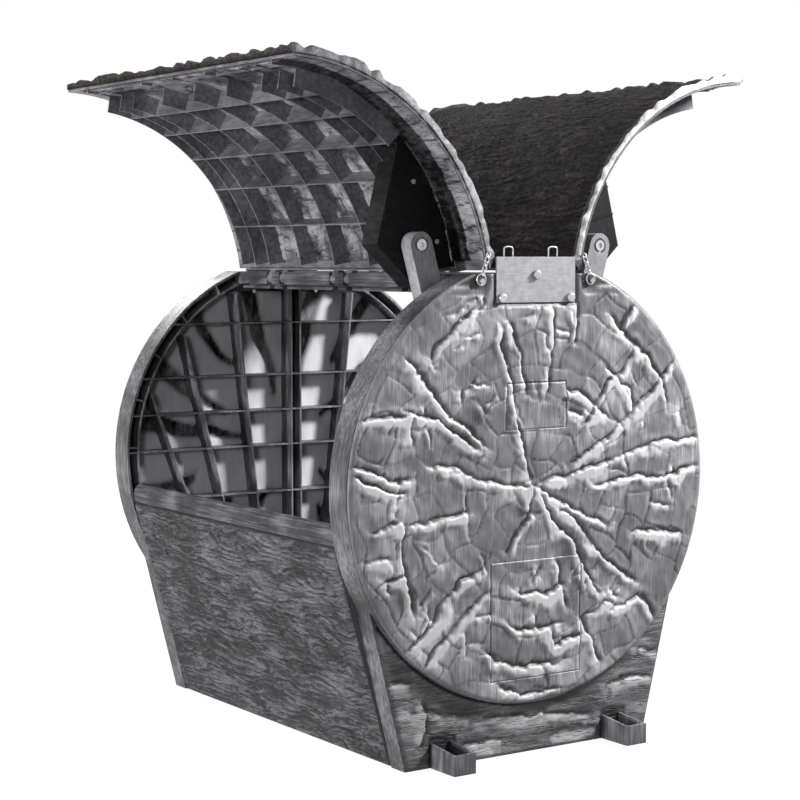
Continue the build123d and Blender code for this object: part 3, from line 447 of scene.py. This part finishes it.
def skin(
    name, rows, columns, keep, to_space, height, tone, finish, body, slot_name, back=0.0, snap=None, edge_finish=None
):
    """A relief skin over the cells of a grid that keep allows, with an edge that goes back to the surface under it.

    to_space gives the points for two coordinates and a height, and snap moves the rim of the skin onto a real edge.
    back is how far above the surface the edge ends. The edges along the first and last column take edge_finish if
    there is one.
    """
    u, v = np.meshgrid(rows, columns, indexing="ij")
    mid_u = (u[:-1, :-1] + u[1:, 1:]) / 2
    mid_v = (v[:-1, :-1] + v[1:, 1:]) / 2
    kept = keep(mid_u, mid_v)
    index = np.arange(u.size).reshape(u.shape)
    quads = np.stack([index[:-1, :-1], index[1:, :-1], index[1:, 1:], index[:-1, 1:]], -1)[kept]
    edges = np.concatenate([quads[:, [k, (k + 1) % 4]] for k in range(4)])
    ordered = np.sort(edges, axis=1)
    _, first, count = np.unique(ordered[:, 0] * u.size + ordered[:, 1], return_index=True, return_counts=True)
    rim = edges[first[count == 1]]
    flat_u, flat_v = u.ravel().copy(), v.ravel().copy()
    if snap:
        on_rim = np.unique(rim)
        flat_u[on_rim], flat_v[on_rim] = snap(flat_u[on_rim], flat_v[on_rim])
    heights = height(flat_u, flat_v)
    tones = tone(flat_u, flat_v, heights)
    used = np.unique(quads)
    skirt = np.unique(rim)
    number = np.full(u.size, -1)
    number[used] = np.arange(len(used))
    below = np.full(u.size, -1)
    below[skirt] = len(used) + np.arange(len(skirt))
    top = to_space(flat_u[used], flat_v[used], heights[used])
    bottom = to_space(flat_u[skirt], flat_v[skirt], np.full(len(skirt), back))
    walls = np.stack([number[rim[:, 1]], number[rim[:, 0]], below[rim[:, 0]], below[rim[:, 1]]], -1)
    faces = np.concatenate([number[quads], walls])
    points = np.concatenate([top, bottom])
    # Painted shade: the skirt walls take 0.3 of the tone of the points above them, so the edges of the skin read dark
    made = make_piece(name, points, faces, finish, body, np.concatenate([tones[used], tones[skirt] * 0.3]))
    if edge_finish:
        made.data.materials.append(edge_finish)
        at_end = np.isin(v.ravel()[rim], (columns[0], columns[-1])).all(axis=1)
        made.data.polygons.foreach_set("material_index", [0] * len(quads) + at_end.astype(int).tolist())
    return made


def in_box(x, z, box, grow=0.0):
    """Which places lie in a box of x and z."""
    return (x > box[0] - grow) & (x < box[1] + grow) & (z > box[2] - grow) & (z < box[3] + grow)


def painted_relief_shade(base, gain):
    """The tone of a relief, painted as shade and highlight: lows are dark and crests are light."""
    return lambda u, v, height: 0.5 + (height - base) * gain


def flank_x(z):
    """Half the width of the plinth at a height."""
    return BASE_X + (FLANK_X - BASE_X) * z / FLANK_Z


def make_end_grain(side, front):
    """The disc and plinth relief of one end of the log; the front end also has the relief of its two covers."""
    sign = -1 if front else 1
    seed = 11 if front else 71
    lines = SPLITS if front else tuple(tuple((-x, z) for x, z in line) for line in SPLITS)
    small_lines = short_splits(70, seed)
    gap = COVER_GAP
    extra_x = [s * v for box in (BLANK, HATCH) for v in (box[1], box[1] + gap) for s in (-1, 1)] if front else ()
    extra_z = [v for box in (HATCH, BLANK) for v in (box[2], box[2] - gap, box[3], box[3] + gap)] if front else ()
    xs = grid_lines(-FACE_R, FACE_R, 2.8, extra_x)
    zs = grid_lines(DISC_Z - FACE_R, DISC_Z + FACE_TOP, 2.8, extra_z)

    def to_space(x, z, h):
        return np.stack([x, sign * (DISC_Y + h), z], -1)

    def snap(x, z):
        r = np.hypot(x, z - DISC_Z)
        near = (r > DISC_R - 7) & (z < DISC_Z + FACE_TOP - 1.4)
        scale = np.where(near, FACE_R / np.maximum(r, 1), 1)
        return x * scale, DISC_Z + (z - DISC_Z) * scale

    def height(x, z):
        return end_height(x, z, lines, small_lines, seed)

    def tone(x, z, h):
        # Painted shade and highlight: the tone follows the height, and the rim of the disc is painted a little darker
        rim = np.clip((DISC_R - np.hypot(x, z - DISC_Z)) / 9, 0, 1)
        return 0.5 + (h - 4.4) * 0.12 * rim - 0.02 * (1 - rim)

    def disc_face(x, z):
        inside = np.hypot(x, z - DISC_Z) < DISC_R - 2.2
        if front:
            inside &= ~in_box(x, z, HATCH, gap + 0.1) & ~in_box(x, z, BLANK, gap + 0.1)
        return inside

    look = (to_space, height, tone, end_grain, "bin", "end_grain_plastic")
    skin(side + "_end_grain", xs, zs, disc_face, *look, snap=snap)
    if front:
        for name, box in (("hatch_grain", HATCH), ("blank_grain", BLANK)):
            skin(name, xs, zs, lambda x, z, b=box: in_box(x, z, b, -0.1), *look)

    def plinth_keep(x, z):
        return (np.hypot(x, z - DISC_Z) > DISC_R + 3) & (np.abs(x) < flank_x(z) - 3.5)

    def plinth_snap(x, z):
        r = np.hypot(x, z - DISC_Z)
        scale = np.where(r < DISC_R + 8, (DISC_R + 0.6) / r, 1)
        x, z = x * scale, DISC_Z + (z - DISC_Z) * scale
        flank = flank_x(z) - 0.8
        out = (np.abs(x) > flank - 6) & (scale == 1)
        return np.where(out, np.sign(x) * flank, x), z

    def plinth_space(x, z, h):
        return np.stack([x, sign * (PLINTH_Y + h), z], -1)

    ledges = PLINTH_LEDGES if front else tuple(tuple((-x, z) for x, z in line) for line in PLINTH_LEDGES)

    def plinth_height(x, z):
        blocks = lumps(x, z, 70, 24, seed + 31)
        stepped = np.round(blocks * 4) / 4 * 0.7 + blocks * 0.3
        h = 0.6 + 3.2 * stepped + 1.2 * lumps(x, z, 30, 8, seed + 32) + 0.5 * lumps(x, z, 9, 4, seed + 33)
        h += splits(x, z, ledges, seed + 40, 3.2, 2.8, 2.2, 1.6)
        edge = np.clip((flank_x(z) - np.abs(x)) / 8, 0, 1)
        edge *= np.clip((np.hypot(x, z - DISC_Z) - DISC_R) / 6, 0.1, 1)
        foot = np.clip(np.maximum(np.abs(np.abs(x) - FOOT_X) - 24, z - 50) / 7, 0, 1)
        return 0.2 + np.clip(h, 0.1, 6.5) * edge * foot * np.clip(z / 6, 0.2, 1)

    skin(
        side + "_plinth_grain",
        grid_lines(-346, 346, 3.0),
        grid_lines(1.0, FLANK_Z, 2.8),
        plinth_keep,
        plinth_space,
        plinth_height,
        painted_relief_shade(3.2, 0.16),
        plinth_grain,
        "bin",
        "end_grain_plastic",
        snap=plinth_snap,
    )


def make_end_inside(side, front):
    """The inside of one end: pillows painted pale as lit, between wide splits painted dark as shade that fan out from
    the centre.
    """
    sign = -1 if front else 1
    wedges = np.radians(DISC_WEDGES)

    def to_space(x, z, h):
        return np.stack([x, sign * (END_INSIDE_Y - h), z], -1)

    def height(x, z):
        wx, wz = x + 26 * (lumps(x, z, 60, 60, 5) - 0.5), z + 26 * (lumps(x, z, 60, 60, 6) - 0.5)
        r, angle = np.hypot(wx, wz - DISC_Z), np.arctan2(wx, wz - DISC_Z)
        gap = np.full(x.shape, 1e9)
        for k, wedge in enumerate(wedges):
            turn = np.abs((angle - wedge + np.pi) % (2 * np.pi) - np.pi)
            reach = 110 + 60 * (k % 3)
            away = np.where(r > reach, turn * r, np.hypot(turn * r, reach - r))
            gap = np.minimum(gap, away - (5 + 13 * np.clip((r - reach) / 200, 0, 1)))
        pillow = 1 - np.exp(-np.clip(gap, 0, None) / 4)
        rim = np.clip((DISC_R - 6 - np.hypot(x, z - DISC_Z)) / 10, 0, 1)
        return 0.3 + rim * (8 * pillow + 2.2 * lumps(x, z, 26, 40, 8) * pillow)

    def keep(x, z):
        inside = (np.hypot(x, z - DISC_Z) < DISC_R - 9) & (z < 826)
        if front:
            inside &= ~in_box(x, z, HATCH, 15) & ~in_box(x, z, BLANK, 15)
        return inside

    skin(
        side + "_end_inside",
        grid_lines(-390, 390, 4.5),
        grid_lines(DISC_Z - 390, 826, 4.5),
        keep,
        to_space,
        height,
        # Painted shade and light: the splits near black, the pillows pale
        lambda x, z, h: 0.08 + h / 11,
        end_inside,
        "bin",
        "end_grain_plastic",
    )


def bark_height(u, v, seed):
    """Relief of bark from 0 to 1: ragged flakes that lie along v, their lower edges undercut by furrows."""
    bend = 20 * (lumps(u, v, 45, 110, seed) - 0.5) + 9 * (lumps(u, v, 14, 34, seed + 1) - 0.5)
    drift = 34 * (lumps(u, v, 26, 44, seed + 6) - 0.5)
    height = 0.12 * lumps(u, v, 40, 90, seed + 4)
    for k, (tall, long, share) in enumerate(((15, 70, 0.3), (8.5, 34, 0.26), (5.4, 17, 0.14))):
        rows = (u + bend * (1 - 0.2 * k)) / tall + 2.2 * lumps(u + bend, v + drift, tall * 1.6, long, seed + 2 + 10 * k)
        flake = rows - np.floor(rows)
        strength = lumps(u + bend, v + drift, tall * 1.3, long * 0.8, seed + 3 + 10 * k)
        height += share * (0.3 + strength) * np.clip(flake * 5, 0, 1) * (1 - 0.75 * flake)
    return height + 0.12 * lumps(u + bend, v, 3.4, 8, seed + 5)


def make_side_bark(side):
    """The bark relief on the outside of one side wall."""
    sign = -1 if side == "left" else 1
    slope = math.hypot(WALL_TOP_X - WALL_BASE_X, WALL_TOP_Z)
    out_x, out_z = WALL_TOP_Z / slope, (WALL_BASE_X - WALL_TOP_X) / slope

    def to_space(u, v, h):
        x = WALL_BASE_X + (WALL_TOP_X - WALL_BASE_X) * u / slope + out_x * h
        return np.stack([sign * x, v, WALL_TOP_Z * u / slope + out_z * h], -1)

    def height(u, v):
        edge = np.clip(np.minimum(np.minimum(u - 1, slope - 2 - u), WALL_HALF_Y - np.abs(v)) / 5, 0.05, 1)
        return 0.3 + 9.5 * edge * bark_height(u, v, 200 if side == "left" else 300)

    skin(
        side + "_side_bark",
        grid_lines(2.5, slope - 2.0, 1.7),
        grid_lines(-WALL_HALF_Y, WALL_HALF_Y, 3.2),
        lambda u, v: u > 0,
        to_space,
        height,
        painted_relief_shade(3.6, 0.22),
        side_bark,
        "bin",
        "bark_plastic",
        0.1,
    )


def make_lid_bark(side):
    """The bark of one lid with its thick ragged edges, and the relief between the ribs on its inside."""
    sign = -1 if side == "left" else 1
    turn = math.radians(LID_ANGLE)
    centre_x, centre_z = lid_centre()

    def to_space(u, v, h, radius=LID_R + LID_SHELL + 0.25):
        angle = np.radians(u) - turn
        r = radius + h
        return np.stack([sign * (centre_x + r * np.sin(angle)), v, centre_z + r * np.cos(angle)], -1)

    seed = 400 if side == "left" else 500

    def height(u, v):
        along = np.radians(u) * LID_R
        h = 11.0 * bark_height(along, v, seed)
        hinge = np.clip((u - LID_START) / 2.2, 0, 1)
        rim = np.clip(np.maximum((np.abs(v) - LID_HALF_Y + 15) / 9, (u - LID_END + 2.4) / 1.6), 0, 1)
        thick = 7 + 10 * lumps(along, v, 16, 19, seed + 12)
        return 0.3 + (h * (1 - rim) + thick * rim) * hinge

    def edge_wave(u, v):
        ragged = 4.5 * lumps(v, u * 0, 17, 9, seed + 8) + 3 * lumps(v, u * 0, 6, 9, seed + 9)
        out = np.where(u > LID_END, LID_END + np.degrees(ragged / LID_R), u)
        along = np.radians(u) * LID_R
        wavy = LID_HALF_Y + 0.3 + 1.9 * lumps(along, v * 0, 11, 9, seed + 10)
        return out, np.where(np.abs(v) > LID_HALF_Y, np.sign(v) * wavy, v)

    skin(
        side + "_lid_bark",
        grid_lines(LID_START + 0.35, LID_END + 0.5, 0.42),
        grid_lines(-LID_HALF_Y - 2, LID_HALF_Y + 2, 3.2),
        lambda u, v: u > 0,
        to_space,
        height,
        painted_relief_shade(4.8, 0.1),
        lid_bark,
        side + "_lid",
        "lid_plastic",
        0.1,
        edge_wave,
        # the end edges take the finish painted as lit
        lid_bark_edges_painted_light[side],
    )

    def inside_height(u, v):
        along = np.radians(u) * LID_R
        block = np.round(lumps(along, v, 40, 60, seed + 20) * 5) / 5
        pillow = lumps(along, v, 26, 30, seed + 21)
        pits = np.clip(1 - np.abs(2 * lumps(along, v, 15, 20, seed + 26) - 1) * 6, 0, 1)
        middle = 7.5 * (0.5 * block + 0.5 * pillow) - 2.2 * pits
        strip = 0.2 + 1.2 * block
        over_end = np.clip((np.abs(v) - OVER_END_Y) / 6, 0, 1)
        return 0.3 + np.clip(middle, 0, None) * (1 - over_end) + strip * over_end

    def inside_tone(u, v, h):
        along = np.radians(u) * LID_R
        over_end = np.clip((np.abs(v) - BESIDE_WEB_Y) / 3, 0, 1)
        joint = np.abs((along + 14 * lumps(along, v, 50, 50, seed + 22)) % 43 - 21.5)
        blocks = np.clip(joint / 2.2, 0.05, 1) * (0.5 + 0.35 * lumps(along, v, 35, 30, seed + 23))
        # Painted shadow: the inner part of each end strip, next to the web, is painted near black, and only its outer
        # part keeps the grey blocks
        painted_shadow_edge = 398 + 9 * (lumps(along, v, 24, 24, seed + 25) - 0.5)
        blocks = np.where(np.abs(v) < painted_shadow_edge, 0.02, blocks)
        # Painted shade and highlight between the ribs: the tone follows the height
        plain = 0.5 + (h - 3.0) * 0.15
        return plain * (1 - over_end) + (blocks + 0.1 * lumps(along, v, 12, 12, seed + 24)) * over_end

    skin(
        side + "_lid_inside",
        grid_lines(LID_START + 2.5, LID_END - 0.6, 0.5),
        grid_lines(-LID_HALF_Y + 2, LID_HALF_Y - 2, 3.6),
        lambda u, v: u > 0,
        lambda u, v, h: to_space(u, v, -h, LID_R),
        inside_height,
        inside_tone,
        lid_inside,
        side + "_lid",
        "lid_plastic",
        0.1,
    )


def lid_centre():
    """Where the centre of a lid's arc stands when the lid is open, as x outward from the middle and z."""
    turn = math.radians(LID_ANGLE)
    down = DISC_Z - HINGE_Z
    x = HINGE_X - HINGE_X * math.cos(turn) - down * math.sin(turn)
    z = HINGE_Z - HINGE_X * math.sin(turn) + down * math.cos(turn)
    return x, z


for side, front in (("front", True), ("back", False)):
    make_end_grain(side, front)
    make_end_inside(side, front)
for side in ("left", "right"):
    make_side_bark(side)
    make_lid_bark(side)


def pale_floor():
    """A pale matt floor that looks white; its glow is painted a little dimmer under and around the bin, where its
    shadow falls.
    """
    made, place = blank_material("matt_white_floor")
    matt = add(made, "ShaderNodeBsdfDiffuse", {"Color": linear("#5e5e5e")})
    away = add(made, "ShaderNodeVectorMath", {0: place}, operation="LENGTH")
    # Painted shade: the glow is a little weaker within 0.7 to 1.5 m of the middle, under and around the bin
    glow_painted_dimmer_near_bin = ramp(made, away.outputs["Value"], 0.7, 1.5, 0.95, 1.0)
    glow = add(made, "ShaderNodeEmission", {"Color": (1, 1, 1, 1), "Strength": glow_painted_dimmer_near_bin})
    both = add(made, "ShaderNodeAddShader", {0: matt.outputs[0], 1: glow.outputs[0]})
    mixed = add(made, "ShaderNodeMixShader", {0: lookup_rays(made), 1: matt.outputs[0], 2: both.outputs[0]})
    add(made, "ShaderNodeOutputMaterial", {"Surface": mixed.outputs[0]})
    mesh = bpy.data.meshes.new("floor")
    half, drop = 60, 0.0005
    corners = [(-half, -half, -drop), (half, -half, -drop), (half, half, -drop), (-half, half, -drop)]
    mesh.from_pydata(corners, [], [(0, 1, 2, 3)])
    mesh.materials.append(made)
    floor = bpy.data.objects.new("floor", mesh)
    bpy.context.scene.collection.objects.link(floor)


def soft_light(name, place, aim, size, power):
    """A square soft lamp at place that looks at aim."""
    lamp = bpy.data.lights.new(name, "AREA")
    lamp.shape, lamp.size, lamp.energy = "SQUARE", size, power
    made = bpy.data.objects.new(name, lamp)
    made.location = place
    away = made.location - type(made.location)(aim)
    made.rotation_euler = away.to_track_quat("Z", "Y").to_euler()
    bpy.context.scene.collection.objects.link(made)


def white_world():
    """A white surrounding for what the camera and shiny metal see, and a soft fill light on the bin."""
    world = bpy.data.worlds.new("white_room")
    world.use_nodes = True
    world.node_tree.nodes.clear()
    fill = add(world, "ShaderNodeBackground", {"Color": (1, 1, 1, 1), "Strength": 0.035})
    white = add(world, "ShaderNodeBackground", {"Color": (1, 1, 1, 1), "Strength": 1.0})
    mixed = add(world, "ShaderNodeMixShader", {0: lookup_rays(world), 1: fill.outputs[0], 2: white.outputs[0]})
    add(world, "ShaderNodeOutputWorld", {"Surface": mixed.outputs[0]})
    bpy.context.scene.world = world


pale_floor()
white_world()
# Lamps: the key from the front right, one from low left for the open lid, one that grazes the side wall from above,
# one for the back and a faint one from the front
soft_light("key_lamp", (1.9, -1.35, 2.1), (0.25, -0.44, 0.5), 0.5, 150)
soft_light("left_lamp", (-4.0, -0.35, 0.6), (-0.3, 0.0, 0.9), 0.3, 100)
soft_light("wall_lamp", (-2.5, 0.1, 3.2), (-0.3, 0.0, 0.2), 0.6, 60)
soft_light("back_lamp", (0.6, 3.8, 1.7), (0.0, 0.44, 0.5), 0.8, 85)
soft_light("front_lamp", (-3.0, -2.9, 1.2), (-0.1, 0.1, 0.45), 0.6, 26)

# Camera of the photograph
lens = bpy.data.cameras.new("camera")
lens.lens, lens.sensor_width, lens.shift_x, lens.shift_y = 89.02, 36, -0.01616, 0.01163
lens.clip_start, lens.clip_end = 0.05, 200
camera = bpy.data.objects.new("camera", lens)
camera.location = (-2.1717, -3.2465, 0.8981)
camera.rotation_euler = Euler([math.radians(a) for a in (85.602, 0, -34.238)])
bpy.context.scene.collection.objects.link(camera)
bpy.context.scene.camera = camera
bpy.context.scene.view_settings.view_transform = "Standard"
